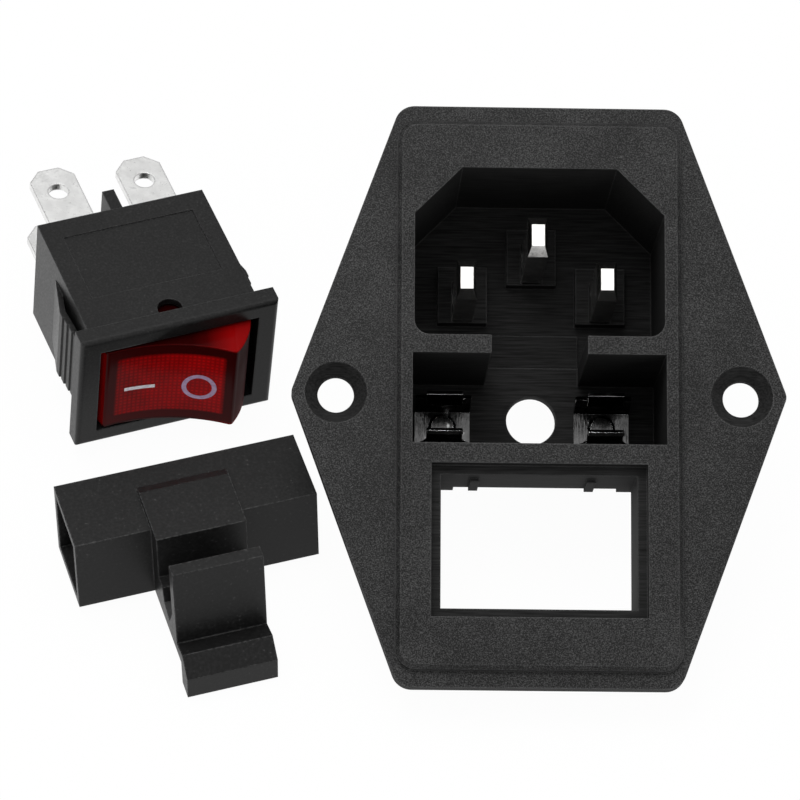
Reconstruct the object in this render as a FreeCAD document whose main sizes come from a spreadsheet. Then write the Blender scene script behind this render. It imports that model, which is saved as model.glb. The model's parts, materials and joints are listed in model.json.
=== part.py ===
"""Panel power inlet with a fuse bay and an illuminated rocker switch, laid out unassembled.

The housing leans on its window collar and its contact lugs, the rocker switch lies on its long
side and the fuse carrier lies in front of it. Millimetres, +X right, +Y away, +Z up, floor z = 0.
"""
import FreeCAD, Part
import Sketcher
import math
import os

from FreeCAD import Placement, Rotation, Vector

os.makedirs("parts", exist_ok=True)
doc = FreeCAD.newDocument("PowerInlet")


# Driving dimensions
DIMENSIONS = [
    # Flange and raised panel of the housing
    ("screw_margin", 4.45),
    ("flange_lip", 1.65),
    ("flange_end_inset", 0.25),
    ("flange_thickness", 2.0),
    ("flange_end_radius", 2.0),
    ("flange_side_radius", 1.2),
    ("panel_side_margin", 1.55),
    ("panel_end_margin", 5.16),
    ("panel_rise", 1.0),
    ("panel_bevel", 0.45),
    ("panel_corner_radius", 2.0),
    ("screw_spacing", 40.0),
    ("screw_hole_diameter", 3.6),
    ("screw_sink", 1.3),
    # Inlet cavity
    ("cavity_inset", 0.15),
    ("cavity_bottom", 5.75),
    ("cavity_top", 22.7),
    ("cavity_chamfer", 4.7),
    ("cavity_corner_radius", 1.5),
    ("cavity_depth", 16.5),
    ("rear_wall", 1.8),
    ("side_wall", 1.2),
    # Contact pins
    ("pin_spacing", 14.0),
    ("pin_row", 12.45),
    ("earth_pin_rise", 4.0),
    ("pin_width", 4.0),
    ("pin_thickness", 2.0),
    ("pin_setback", 4.2),
    ("earth_pin_setback", 2.4),
    ("pin_taper", 1.0),
    ("pin_tip_width", 2.2),
    ("pin_tip_thickness", 1.3),
    ("pin_clearance", 0.05),
    ("boss_height", 1.5),
    ("boss_half_width", 2.5),
    ("lug_width", 4.8),
    ("lug_thickness", 0.8),
    ("lug_length", 7.8),
    ("lug_hole_diameter", 1.8),
    # Fuse bay
    ("bay_half_width", 12.5),
    ("bay_bottom", -5.1),
    ("bay_top", 3.92),
    ("bay_shortfall", 1.0),
    ("bay_wall", 1.4),
    ("gate_half_width", 4.75),
    ("step_height", 0.5),
    ("step_top", 9.2),
    ("eject_hole_diameter", 5.0),
    ("eject_hole_height", 0.3),
    # Fuse clips
    ("clip_middle", -0.6),
    ("clip_left_inset", 3.5),
    ("clip_right_inset", 5.4),
    ("clip_width", 5.6),
    ("clip_sheet", 0.4),
    ("clip_base_half", 1.9),
    ("clip_belly_half", 2.75),
    ("clip_neck_half", 1.6),
    ("clip_flare_half", 2.2),
    ("clip_belly_height", 3.4),
    ("clip_neck_height", 6.2),
    ("clip_flare_height", 8.0),
    ("clip_shoulder", 1.0),
    ("rivet_radius", 0.9),
    ("rivet_head_radius", 1.4),
    ("rivet_head_height", 0.5),
    ("tag_length", 7.2),
    ("tag_foot_half", 2.0),
    ("tag_lean", 55.0),
    # Switch window
    ("recess_lip", 0.97),
    ("recess_depth", 1.2),
    ("window_gap", 2.97),
    ("window_half_width", 9.65),
    ("window_half_height", 6.65),
    ("collar_depth", 8.5),
    ("collar_relief", 1.7),
    ("snap_rib_width", 0.9),
    ("snap_rib_rise", 0.35),
    # Fuse carrier
    ("carrier_clearance", 0.2),
    ("carrier_wall", 0.8),
    ("carrier_slot_height", 6.6),
    ("clip_clearance", 0.3),
    ("saddle_width", 9.16),
    ("saddle_rise", 0.5),
    ("saddle_front", 2.0),
    ("saddle_back", 4.8),
    ("tongue_reach", 12.4),
    ("tongue_hook", 2.8),
    ("carrier_yaw", 16.0),
    # Rocker switch
    ("bezel_clearance", 0.12),
    ("bezel_thickness", 2.0),
    ("bezel_edge_radius", 0.5),
    ("opening_length", 16.8),
    ("opening_height", 11.4),
    ("case_clearance", 0.2),
    ("wing_stand", 0.55),
    ("wing_bulge", 1.1),
    ("wing_margin", 2.1),
    ("wing_length", 10.5),
    ("case_depth", 18.0),
    ("bridge_rise", 3.2),
    ("partition_half", 0.5),
    ("partition_height", 2.2),
    ("post_length", 3.6),
    ("post_half_height", 5.45),
    ("post_half_width", 0.63),
    ("pivot_depth", 3.2),
    ("trunnion_radius", 1.2),
    ("trunnion_clearance", 0.08),
    ("rocker_half_length", 8.1),
    ("rocker_half_height", 5.4),
    ("rocker_rise", 5.2),
    ("rocker_dish", 1.15),
    ("rocker_wall", 1.0),
    ("rocker_skirt", 1.6),
    ("rocker_lean", 16.0),
    ("trunnion_recess", 1.0),
    ("pole_offset", 3.4),
    ("terminal_spacing", 9.0),
    ("terminal_width", 4.8),
    ("terminal_thickness", 0.8),
    ("terminal_shift", 0.6),
    ("terminal_reach", 9.2),
    ("terminal_step", 1.0),
    ("terminal_hole_inset", 3.3),
    ("terminal_hole_diameter", 2.1),
    ("plunger_radius", 0.9),
    ("plunger_reach", 6.3),
    ("plunger_gap", 0.2),
    ("plunger_guide", 0.5),
    ("plunger_travel", 0.6),
    ("contact_radius", 0.95),
    ("contact_height", 0.75),
    ("contact_gap", 0.1),
    ("bridge_sheet", 0.6),
    ("bridge_width", 3.2),
    ("bridge_arm", 5.6),
    ("bridge_rake", 10.0),
    ("bridge_lean", 8.0),
    ("spring_wire_radius", 0.15),
    ("spring_coils", 3.5),
    ("lamp_radius", 1.4),
    ("lamp_length", 7.0),
    ("resistor_radius", 0.85),
    ("resistor_length", 3.6),
    ("lead_radius", 0.25),
    ("switch_yaw", 21.2),
    ("switch_roll", 5.0),
    # Layout on the floor
    ("housing_across", 14.2),
    ("housing_away", 0.0),
    ("switch_across", -21.56),
    ("switch_away", 8.85),
    ("carrier_across", -19.0),
    ("carrier_away", -11.4),
]

sheet = doc.addObject("Spreadsheet::Sheet", "sizes")
sheet.Label = "sizes"
for row, (alias, value) in enumerate(DIMENSIONS, start=1):
    sheet.set(f"A{row}", alias)
    sheet.set(f"B{row}", str(value))
    sheet.setAlias(f"B{row}", alias)
doc.recompute()


class Size:
    """A value read from the sheet, together with the expression that gives it."""

    def __init__(self, value, text):
        self.value = float(value)
        self.text = text

    def __add__(self, other):
        other = as_size(other)
        return Size(self.value + other.value, f"({self.text} + {other.text})")

    def __sub__(self, other):
        other = as_size(other)
        return Size(self.value - other.value, f"({self.text} - {other.text})")

    def __mul__(self, other):
        other = as_size(other)
        return Size(self.value * other.value, f"({self.text} * {other.text})")

    def __truediv__(self, other):
        other = as_size(other)
        return Size(self.value / other.value, f"({self.text} / {other.text})")

    def __neg__(self):
        return Size(-self.value, f"(0 - {self.text})")

    __radd__ = __add__
    __rmul__ = __mul__

    def __rsub__(self, other):
        return as_size(other) - self

    def __float__(self):
        return self.value


class SheetSizes:
    """Gives each alias of the sheet as a Size."""

    def __getattr__(self, alias):
        return Size(getattr(sheet, alias), f"sizes.{alias}")


def as_size(term):
    return term if isinstance(term, Size) else Size(term, repr(float(term)))


S = SheetSizes()


# Sketch and feature helpers
AXES = {"XY": "XY_Plane", "XZ": "XZ_Plane", "YZ": "YZ_Plane"}
NORMAL_SIGN = {"XY": 1, "XZ": -1, "YZ": 1}


def rectangle(x0, y0, x1, y1):
    return [(x0, y0), (x1, y0), (x1, y1), (x0, y1)]


def disc(x, y, radius):
    return ("disc", x, y, radius)


def bind(obj, name, size):
    """Gives a property its value and ties it to the sheet."""
    size = as_size(size)
    obj.setExpression(name, size.text)


class Model:
    """A body built from sketched prisms; the axis named with each outline is the prism's."""

    def __init__(self, label):
        self.body = doc.addObject("PartDesign::Body", label)
        self.body.Label = label
        self.count = 0

    def plane(self, name):
        for feature in self.body.Origin.OriginFeatures:
            if feature.Role == AXES[name]:
                return feature

    def sketch(self, name, outlines, level):
        self.count += 1
        sketch = self.body.newObject("Sketcher::SketchObject", f"{self.body.Name}_outline{self.count}")
        sketch.AttachmentSupport = [(self.plane(name), "")]
        sketch.MapMode = "FlatFace"
        bind(sketch, "AttachmentOffset.Base.z", as_size(level) * NORMAL_SIGN[name])
        for outline in outlines:
            if outline[0] == "disc":
                self.draw_disc(sketch, *outline[1:])
            else:
                self.draw_polygon(sketch, outline)
        return sketch

    def draw_disc(self, sketch, x, y, radius):
        x, y, radius = as_size(x), as_size(y), as_size(radius)
        centre = Vector(x.value, y.value, 0)
        index = sketch.addGeometry(Part.Circle(centre, Vector(0, 0, 1), radius.value), False)
        self.constrain_point(sketch, index, 3, x, y)
        number = sketch.addConstraint(constraint("Radius", index, radius.value))
        bind(sketch, f"Constraints[{number}]", radius)

    def draw_polygon(self, sketch, points):
        """Draws a closed loop; a corner with a third item starts an arc through that point."""
        corners = [(as_size(point[0]), as_size(point[1])) for point in points]
        vectors = [Vector(x.value, y.value, 0) for x, y in corners]
        first = sketch.GeometryCount
        segments = []
        for number, point in enumerate(points):
            start = vectors[number]
            end = vectors[(number + 1) % len(points)]
            if len(point) == 2:
                index = sketch.addGeometry(Part.LineSegment(start, end), False)
                segments.append((index, 1, 2))
                continue
            through = Vector(float(point[2][0]), float(point[2][1]), 0)
            index = sketch.addGeometry(Part.Arc(start, through, end), False)
            turn = (through - start).cross(end - through).z
            segments.append((index, 1, 2) if turn > 0 else (index, 2, 1))
        for number, point in enumerate(points):
            index, start_end, far_end = segments[number]
            next_index, next_start, next_far = segments[(number + 1) % len(points)]
            sketch.addConstraint(constraint("Coincident", index, far_end, next_index, next_start))
            self.constrain_point(sketch, index, start_end, *corners[number])
            if len(point) > 2:
                through_x, through_y = as_size(point[2][0]), as_size(point[2][1])
                mark = sketch.addGeometry(Part.Point(Vector(through_x.value, through_y.value, 0)), True)
                self.constrain_point(sketch, mark, 1, through_x, through_y)
                sketch.addConstraint(constraint("PointOnObject", mark, 1, index))

    def constrain_point(self, sketch, index, which, x, y):
        for kind, size in (("DistanceX", x), ("DistanceY", y)):
            number = sketch.addConstraint(constraint(kind, -1, 1, index, which, size.value))
            bind(sketch, f"Constraints[{number}]", size)

    def add(self, name, outlines, low, high):
        """Adds the outlines as prisms from low to high along the plane's own axis."""
        low, high = as_size(low), as_size(high)
        level = high if name == "XZ" else low
        pad = self.body.newObject("PartDesign::Pad", f"{self.body.Name}_pad{self.count + 1}")
        pad.Profile = self.sketch(name, outlines, level)
        bind(pad, "Length", high - low)
        return self.settle(pad, +1)

    def cut(self, name, outlines, low, high):
        """Cuts the outlines as prisms from low to high along the plane's own axis."""
        low, high = as_size(low), as_size(high)
        level = low if name == "XZ" else high
        pocket = self.body.newObject("PartDesign::Pocket", f"{self.body.Name}_pocket{self.count + 1}")
        pocket.Profile = self.sketch(name, outlines, level)
        bind(pocket, "Length", high - low)
        return self.settle(pocket, -1)

    def revolve(self, name, outline, axis, cut=False):
        """Turns the outline about the sketch's own H_Axis or V_Axis."""
        kind = "PartDesign::Groove" if cut else "PartDesign::Revolution"
        turn = self.body.newObject(kind, f"{self.body.Name}_turn{self.count + 1}")
        sketch = self.sketch(name, [outline], 0)
        turn.Profile = sketch
        turn.ReferenceAxis = (sketch, [axis])
        turn.Angle = 360
        return self.settle(turn, -1 if cut else +1)

    def dress(self, kind, pick, size):
        """Rounds or bevels the edges that pick names by their bounding box."""
        base = self.body.Tip
        names = [f"Edge{i}" for i, edge in enumerate(base.Shape.Edges, start=1) if pick(edge)]
        if not names:
            raise RuntimeError(f"{self.body.Label}: no edge found for {kind}")
        feature = self.body.newObject(f"PartDesign::{kind}", f"{self.body.Name}_{kind.lower()}{self.count}")
        self.count += 1
        feature.Base = (base, names)
        bind(feature, "Radius" if kind == "Fillet" else "Size", size)
        doc.recompute()
        return feature

    def settle(self, feature, sign):
        """Recomputes and makes sure that the feature changed the volume the right way."""
        before = self.volume
        doc.recompute()
        after = self.body.Shape.Volume
        if (after - before) * sign <= 1e-6:
            raise RuntimeError(f"{feature.Name} changed nothing")
        return feature

    @property
    def volume(self):
        shape = self.body.Shape
        return 0.0 if shape.isNull() else shape.Volume


def constraint(*terms):
    return Sketcher.Constraint(*terms)


def edge_at(x=None, y=None, z=None, tolerance=0.02, length=None):
    """A test for straight edges whose every point has the given coordinates, signs ignored for x."""
    def test(edge):
        box = edge.BoundBox
        spans = ((x, box.XMin, box.XMax), (y, box.YMin, box.YMax), (z, box.ZMin, box.ZMax))
        for wanted, low, high in spans:
            if wanted is None:
                continue
            options = wanted if isinstance(wanted, (list, tuple)) else [wanted]
            if not any(abs(low - float(w)) < tolerance and abs(high - float(w)) < tolerance for w in options):
                return False
        return length is None or abs(edge.Length - float(length)) < tolerance
    return test


def both(size):
    return [float(size), -float(size)]


nodes = []


def keep(obj, placement):
    """Puts a finished sub-part in its place in the layout."""
    obj.Placement = placement.multiply(obj.Placement)
    nodes.append(obj)
    return obj


def shape_part(label, shape, placement):
    part = doc.addObject("Part::Feature", label)
    part.Label = label
    part.Shape = shape
    return keep(part, placement)


def strip(points, thickness, low, high, axis):
    """A bent sheet strip: the path's left side thickened, swept along X or Y from low to high."""
    points = [(float(a), float(b)) for a, b in points]
    thickness, low, high = float(thickness), float(low), float(high)
    normals = []
    for (a0, b0), (a1, b1) in zip(points, points[1:]):
        run = math.hypot(a1 - a0, b1 - b0)
        normals.append(((b0 - b1) / run, (a1 - a0) / run))
    offset = []
    for i, (a, b) in enumerate(points):
        before = normals[max(i - 1, 0)]
        after = normals[min(i, len(normals) - 1)]
        bisector = (before[0] + after[0], before[1] + after[1])
        scale = thickness * 2 / (bisector[0] ** 2 + bisector[1] ** 2)
        offset.append((a + bisector[0] * scale, b + bisector[1] * scale))
    loop = points + offset[::-1]
    if axis == "X":
        corners = [Vector(low, a, b) for a, b in loop]
        sweep = Vector(high - low, 0, 0)
    else:
        corners = [Vector(a, low, b) for a, b in loop]
        sweep = Vector(0, high - low, 0)
    return Part.Face(Part.makePolygon(corners + corners[:1])).extrude(sweep)


# Sizes that follow from the driving ones
cavity_floor = S.panel_rise - S.cavity_depth
inlet_rear = cavity_floor - S.rear_wall
bay_floor = cavity_floor + S.bay_shortfall
bay_rear = bay_floor - S.bay_wall
lug_end = inlet_rear - S.lug_length
earth_row = S.pin_row + S.earth_pin_rise
recess_half_width = S.window_half_width + S.recess_lip
recess_half_height = S.window_half_height + S.recess_lip
window_middle = S.bay_bottom - S.window_gap - S.window_half_height
collar_half_height = S.window_half_height + S.side_wall
collar_foot = window_middle - collar_half_height
cavity_half_width = S.bay_half_width - S.cavity_inset
panel_half_width = S.bay_half_width + S.panel_side_margin
panel_half_height = recess_half_height - window_middle + S.panel_end_margin
flange_half_width = S.screw_spacing / 2 + S.screw_margin
flange_half_height = panel_half_height + S.flange_lip
flange_end_half_width = panel_half_width - S.flange_end_inset
clip_left = S.clip_left_inset - S.bay_half_width
clip_right = S.bay_half_width - S.clip_right_inset
carrier_length = S.bay_half_width * 2 - S.carrier_clearance * 2
carrier_height = S.bay_top - S.bay_bottom - S.carrier_clearance * 2
bezel_length = recess_half_width * 2 - S.bezel_clearance * 2
bezel_height = recess_half_height * 2 - S.bezel_clearance * 2
case_length = S.window_half_width * 2 - S.case_clearance * 2 - S.wing_stand * 2
case_height = S.window_half_height * 2 - S.case_clearance * 2

lug_foot = S.pin_row - S.lug_thickness / 2
LEAN = math.atan2(-float(S.collar_depth) - float(lug_end), float(lug_foot) - float(collar_foot))


# Where each group of pieces lies on the floor
def housing_placement():
    turn = Rotation(Vector(1, 0, 0), math.degrees(LEAN))
    foot = turn.multVec(Vector(0, float(collar_foot), -float(S.collar_depth)))
    return Placement(Vector(float(S.housing_across), float(S.housing_away), -foot.z), turn)


def switch_placement():
    overhang = float(bezel_height - case_height) / 2
    tilt = math.degrees(math.atan2(overhang, float(S.case_depth - S.bezel_thickness)))
    turn = Rotation(Vector(0, 0, 1), float(S.switch_yaw))
    turn = turn.multiply(Rotation(Vector(1, 0, 0), 90 - tilt))
    turn = turn.multiply(Rotation(Vector(0, 0, 1), -float(S.switch_roll)))
    corner = turn.multVec(Vector(float(bezel_length) / 2, -float(bezel_height) / 2, -float(S.bezel_thickness)))
    return Placement(Vector(float(S.switch_across), float(S.switch_away), -corner.z), turn)


def carrier_placement():
    hook_foot = Vector(0, -float(S.tongue_reach) + 2.2, -float(S.tongue_hook))
    rear_foot = Vector(0, float(carrier_height), 0)
    tilt = math.atan2(rear_foot.z - hook_foot.z, rear_foot.y - hook_foot.y)
    turn = Rotation(Vector(0, 0, 1), float(S.carrier_yaw))
    turn = turn.multiply(Rotation(Vector(1, 0, 0), -math.degrees(tilt)))
    rear = turn.multVec(rear_foot)
    return Placement(Vector(float(S.carrier_across), float(S.carrier_away), -rear.z), turn)


HOUSING = housing_placement()
SWITCH = switch_placement()
CARRIER = carrier_placement()


# Housing: hexagonal flange, raised panel, inlet, fuse bay and switch window in one moulding
housing = Model("inlet_housing")
flange_outline = [
    (flange_half_width, 0),
    (flange_end_half_width, flange_half_height),
    (-flange_end_half_width, flange_half_height),
    (-flange_half_width, 0),
    (-flange_end_half_width, -flange_half_height),
    (flange_end_half_width, -flange_half_height),
]
housing.add("XY", [flange_outline], -S.flange_thickness, 0)
housing.dress("Fillet", edge_at(x=both(flange_end_half_width), y=both(flange_half_height)),
              S.flange_end_radius)
housing.dress("Fillet", edge_at(x=both(flange_half_width), y=0), S.flange_side_radius)

panel = rectangle(-panel_half_width, -panel_half_height, panel_half_width, panel_half_height)
housing.add("XY", [panel], 0, S.panel_rise)
housing.dress("Fillet", lambda edge: edge_at(x=both(panel_half_width), y=both(panel_half_height))(edge),
              S.panel_corner_radius)
housing.dress("Chamfer", lambda edge: edge.BoundBox.ZMin > float(S.panel_rise) - 0.01, S.panel_bevel)

inlet_outer = rectangle(-cavity_half_width - S.side_wall, S.bay_top, cavity_half_width + S.side_wall,
                        S.cavity_top + S.side_wall)
housing.add("XY", [inlet_outer], inlet_rear, -S.flange_thickness)
housing.dress("Chamfer", lambda edge: edge_at(x=both(cavity_half_width + S.side_wall),
                                              y=S.cavity_top + S.side_wall)(edge),
              S.cavity_chamfer * 0.8)
bay_outer = rectangle(-S.bay_half_width - S.side_wall, S.bay_bottom - S.side_wall,
                      S.bay_half_width + S.side_wall, S.bay_top)
housing.add("XY", [bay_outer], bay_rear, -S.flange_thickness)
collar_outer = rectangle(-S.window_half_width - S.side_wall, collar_foot,
                         S.window_half_width + S.side_wall, window_middle + collar_half_height)
housing.add("XY", [collar_outer], -S.collar_depth, -S.flange_thickness)

cavity = [
    (-cavity_half_width, S.cavity_bottom),
    (cavity_half_width, S.cavity_bottom),
    (cavity_half_width, S.cavity_top - S.cavity_chamfer),
    (cavity_half_width - S.cavity_chamfer, S.cavity_top),
    (-cavity_half_width + S.cavity_chamfer, S.cavity_top),
    (-cavity_half_width, S.cavity_top - S.cavity_chamfer),
]
housing.cut("XY", [cavity], cavity_floor, S.panel_rise)
housing.dress("Fillet", edge_at(x=both(cavity_half_width), y=S.cavity_bottom), S.cavity_corner_radius)
bay = rectangle(-S.bay_half_width, S.bay_bottom, S.bay_half_width, S.bay_top)
housing.cut("XY", [bay], bay_floor, S.panel_rise)
gate = rectangle(-S.gate_half_width, S.bay_top - 0.1, S.gate_half_width, S.cavity_bottom + 0.1)
housing.cut("XY", [gate], bay_floor, S.panel_rise)
housing.add("XY", [rectangle(-S.gate_half_width, S.cavity_bottom, S.gate_half_width, S.step_top)],
            cavity_floor, cavity_floor + S.step_height)

# Bosses round the pin roots and the slots that the pins pass through
boss_low = S.pin_width / 2 + 0.2
boss_high = S.pin_width / 2 + 1.6
PINS = [
    ("pin_left", -S.pin_spacing / 2, S.pin_row, S.pin_setback),
    ("pin_right", S.pin_spacing / 2, S.pin_row, S.pin_setback),
    ("pin_earth", as_size(0), earth_row, S.earth_pin_setback),
]
bosses = [rectangle(x - S.boss_half_width, y - boss_low, x + S.boss_half_width, y + boss_high)
          for label, x, y, setback in PINS]
housing.add("XY", bosses, cavity_floor, cavity_floor + S.boss_height)
slot_x = S.pin_thickness / 2 + S.pin_clearance
slot_y = S.pin_width / 2 + S.pin_clearance
slots = [rectangle(x - slot_x, y - slot_y, x + slot_x, y + slot_y) for label, x, y, setback in PINS]
housing.cut("XY", slots, inlet_rear, cavity_floor + S.boss_height)

# Ejection hole and rivet holes in the floor of the bay
rivet_x = [clip_left, clip_right]
floor_holes = [disc(x, S.clip_middle, S.rivet_radius) for x in rivet_x]
floor_holes.append(disc(0, S.eject_hole_height, S.eject_hole_diameter / 2))
housing.cut("XY", floor_holes, bay_rear, bay_floor)

# Recess and window for the rocker switch, with two ribs that its snap wings click behind
recess = rectangle(-recess_half_width, window_middle - recess_half_height,
                   recess_half_width, window_middle + recess_half_height)
housing.cut("XY", [recess], S.panel_rise - S.recess_depth, S.panel_rise)
window = rectangle(-S.window_half_width, window_middle - S.window_half_height,
                   S.window_half_width, window_middle + S.window_half_height)
housing.cut("XY", [window], -S.collar_depth, S.panel_rise - S.recess_depth)
relief = rectangle(-S.window_half_width + 1.5, window_middle + S.window_half_height,
                   S.window_half_width - 1.5, S.bay_bottom - S.side_wall)
housing.cut("XY", [relief], -S.collar_depth, -S.collar_depth + S.collar_relief)
rib_top = window_middle + S.window_half_height
ribs = [
    [(x, rib_top), (x, rib_top - S.snap_rib_rise), (x + S.snap_rib_width, rib_top - S.snap_rib_rise),
     (x + S.snap_rib_width, rib_top)]
    for x in (as_size(-6.7), as_size(4.8))
]
housing.add("XY", ribs, -S.collar_depth + S.collar_relief, -S.flange_thickness)

# Countersunk panel screw holes
screw_x = S.screw_spacing / 2
screw_radius = S.screw_hole_diameter / 2
housing.cut("XY", [disc(x, 0, screw_radius) for x in (-screw_x, screw_x)], -S.flange_thickness, 0)
housing.dress("Chamfer", lambda edge: (abs(abs(edge.BoundBox.Center.x) - float(screw_x)) < 0.01
                                       and edge.BoundBox.ZMin > -0.01 and abs(edge.BoundBox.Center.y) < 0.01
                                       and edge.Curve.TypeId == "Part::GeomCircle"
                                       and abs(edge.Curve.Radius - float(screw_radius)) < 0.01),
              S.screw_sink)
keep(housing.body, HOUSING)


# Contact pins: a tapered blade in front, a flat pierced lug behind
def contact_pin(label, x, y, setback):
    pin = Model(label)
    tip = S.panel_rise - setback
    half_width = S.pin_width / 2
    half_thickness = S.pin_thickness / 2
    blade = [
        (y - half_width, inlet_rear),
        (y + half_width, inlet_rear),
        (y + half_width, tip - S.pin_taper),
        (y + S.pin_tip_width / 2, tip),
        (y - S.pin_tip_width / 2, tip),
        (y - half_width, tip - S.pin_taper),
    ]
    pin.add("YZ", [blade], x - half_thickness, x + half_thickness)
    cheeks = [
        [(x + half_thickness * side, tip - S.pin_taper), (x + half_thickness * side, tip),
         (x + S.pin_tip_thickness / 2 * side, tip)]
        for side in (-1, 1)
    ]
    pin.cut("XZ", cheeks, y - half_width, y + half_width)
    half_lug = S.lug_width / 2
    lug = [
        (x - half_lug, inlet_rear),
        (x + half_lug, inlet_rear),
        (x + half_lug, lug_end + 1.2),
        (x + half_lug - 1.2, lug_end),
        (x - half_lug + 1.2, lug_end),
        (x - half_lug, lug_end + 1.2),
    ]
    pin.add("XZ", [lug], y - S.lug_thickness / 2, y + S.lug_thickness / 2)
    pin.cut("XZ", [disc(x, lug_end + 2.8, S.lug_hole_diameter / 2)],
            y - S.lug_thickness / 2, y + S.lug_thickness / 2)
    keep(pin.body, HOUSING)


for pin_label, pin_x, pin_y, pin_setback in PINS:
    contact_pin(pin_label, pin_x, pin_y, pin_setback)


# Fuse clips: an open spring jaw of folded sheet, riveted to the floor of the bay
def clip_side(side):
    """The half profile of a clip from its base to its flared mouth, for side -1 or +1."""
    base = bay_floor
    return [
        (S.clip_middle + S.clip_base_half * side, base),
        (S.clip_middle + S.clip_belly_half * 0.8 * side, base + S.clip_belly_height * 0.4),
        (S.clip_middle + S.clip_belly_half * side, base + S.clip_belly_height),
        (S.clip_middle + S.clip_belly_half * 0.93 * side, base + S.clip_belly_height * 1.35),
        (S.clip_middle + S.clip_neck_half * side, base + S.clip_neck_height),
        (S.clip_middle + S.clip_flare_half * side, base + S.clip_flare_height),
    ]


def fuse_clip(label, x):
    path = clip_side(1)[::-1] + clip_side(-1)
    half = S.clip_width / 2
    jaw = strip([(float(a), float(b)) for a, b in path][::-1], S.clip_sheet, x - half, x + half, "X")
    hole = Part.makeCylinder(float(S.rivet_radius), 5, Vector(float(x), float(S.clip_middle), float(bay_floor) - 1))
    cuts = [hole]
    shoulder = float(S.clip_shoulder)
    low = float(bay_floor + S.clip_belly_height) + 0.4
    top = float(bay_floor + S.clip_flare_height) + 1
    for side in (-1, 1):
        outer = float(x) + float(half) * side
        outline = [(outer + side, low), (outer, low), (outer - shoulder * side, low + shoulder),
                   (outer - shoulder * side, top), (outer + side, top)]
        corners = [Vector(a, float(S.clip_middle) - 10, b) for a, b in outline]
        cuts.append(Part.Face(Part.makePolygon(corners + corners[:1])).extrude(Vector(0, 20, 0)))
    shape_part(label, jaw.cut(cuts).removeSplitter(), HOUSING)


fuse_clip("fuse_clip_left", clip_left)
fuse_clip("fuse_clip_right", clip_right)


# Rear tags: a bent solder tag for the left clip, a stepped link from the right clip to its pin
tag_half = S.lug_width / 2
tag_lean = math.radians(float(S.tag_lean))
tag_z = float(bay_rear)
tag_y = float(S.clip_middle)
tag_foot = float(S.tag_foot_half)
tag_length = float(S.tag_length)
tag = strip([(tag_y - tag_foot, tag_z), (tag_y + tag_foot, tag_z),
             (tag_y + tag_foot + tag_length * math.sin(tag_lean), tag_z - tag_length * math.cos(tag_lean))][::-1],
            S.lug_thickness, clip_left - tag_half, clip_left + tag_half, "X")
tag_rivet_hole = Part.makeCylinder(float(S.rivet_radius), 4, Vector(float(clip_left), tag_y, tag_z - 2))
tag = tag.cut(tag_rivet_hole).removeSplitter()
shape_part("fuse_tag", tag, HOUSING)

link_x = float(clip_right)
link_end = float(S.pin_row) + tag_foot * 0.8
link_step = float(S.bay_top) - float(S.lug_thickness) - 0.1
link = strip([(link_end, float(inlet_rear)), (link_step, float(inlet_rear)),
              (link_step, float(bay_rear)), (tag_y - tag_foot, float(bay_rear))],
             S.lug_thickness, clip_right - tag_half, clip_right + tag_half, "X")
link_slot = Part.makeBox(float(S.lug_width) + 0.1, float(S.lug_thickness) + 0.1, 6,
                         Vector(float(S.pin_spacing) / 2 - float(S.lug_width) / 2 - 0.05,
                                float(S.pin_row) - float(S.lug_thickness) / 2 - 0.05,
                                float(inlet_rear) - 4))
link_hole = Part.makeCylinder(float(S.rivet_radius), 4, Vector(link_x, tag_y, tag_z - 2))
link = link.cut([link_slot, link_hole]).removeSplitter()
shape_part("fuse_link", link, HOUSING)


def clip_rivet(label, x):
    rivet = Model(label)
    top = bay_floor + S.clip_sheet
    bottom = bay_rear - S.lug_thickness
    rivet.add("XY", [disc(x, S.clip_middle, S.rivet_radius)], bottom, top)
    rivet.add("XY", [disc(x, S.clip_middle, S.rivet_head_radius)], top, top + S.rivet_head_height)
    rivet.add("XY", [disc(x, S.clip_middle, S.rivet_head_radius)], bottom - S.rivet_head_height, bottom)
    rivet.dress("Chamfer", lambda edge: edge.BoundBox.ZMin > float(top + S.rivet_head_height) - 0.01,
                S.rivet_head_height * 0.6)
    keep(rivet.body, HOUSING)


clip_rivet("clip_rivet_left", clip_left)
clip_rivet("clip_rivet_right", clip_right)


# Fuse carrier: a square tube with a saddle and a hooked tongue
carrier = Model("fuse_carrier")
half_length = carrier_length / 2
half_saddle = S.saddle_width / 2
carrier.add("YZ", [rectangle(0, 0, carrier_height, carrier_height)], -half_length, half_length)
saddle = [
    (-S.saddle_front, 0),
    (carrier_height, 0),
    (carrier_height, carrier_height),
    (S.saddle_back + 1.2, carrier_height),
    (S.saddle_back, carrier_height + S.saddle_rise),
    (-S.saddle_front, carrier_height + S.saddle_rise),
]
carrier.add("YZ", [saddle], -half_saddle, half_saddle)
reach = -S.tongue_reach
tongue = [
    (0, 0),
    (reach + 2.3, 0),
    (reach + 2.2, -S.tongue_hook),
    (reach + 0.2, -S.tongue_hook - 0.1),
    (reach, -0.2),
    (reach + 1.7, 1.6),
    (reach + 3.8, 1.1),
    (reach + 4.0, carrier_height + S.saddle_rise + 1.4),
    (reach + 5.4, carrier_height + S.saddle_rise + 1.4),
    (reach + 5.1, 4.0),
    (reach + 6.5, 1.6),
    (reach + 8.4, 2.3),
    (reach + 8.9, 3.9),
    (0, 3.9),
]
carrier.add("YZ", [tongue], -half_saddle, half_saddle)
inner_low = S.carrier_wall
inner_high = carrier_height - S.carrier_wall
carrier.cut("YZ", [rectangle(inner_low, inner_low, inner_high, inner_high)], -half_length, half_length)
slot_low = carrier_height / 2 - S.carrier_slot_height / 2
slot_high = carrier_height / 2 + S.carrier_slot_height / 2
slot_half = S.clip_width / 2 - S.clip_shoulder + S.clip_clearance
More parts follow.
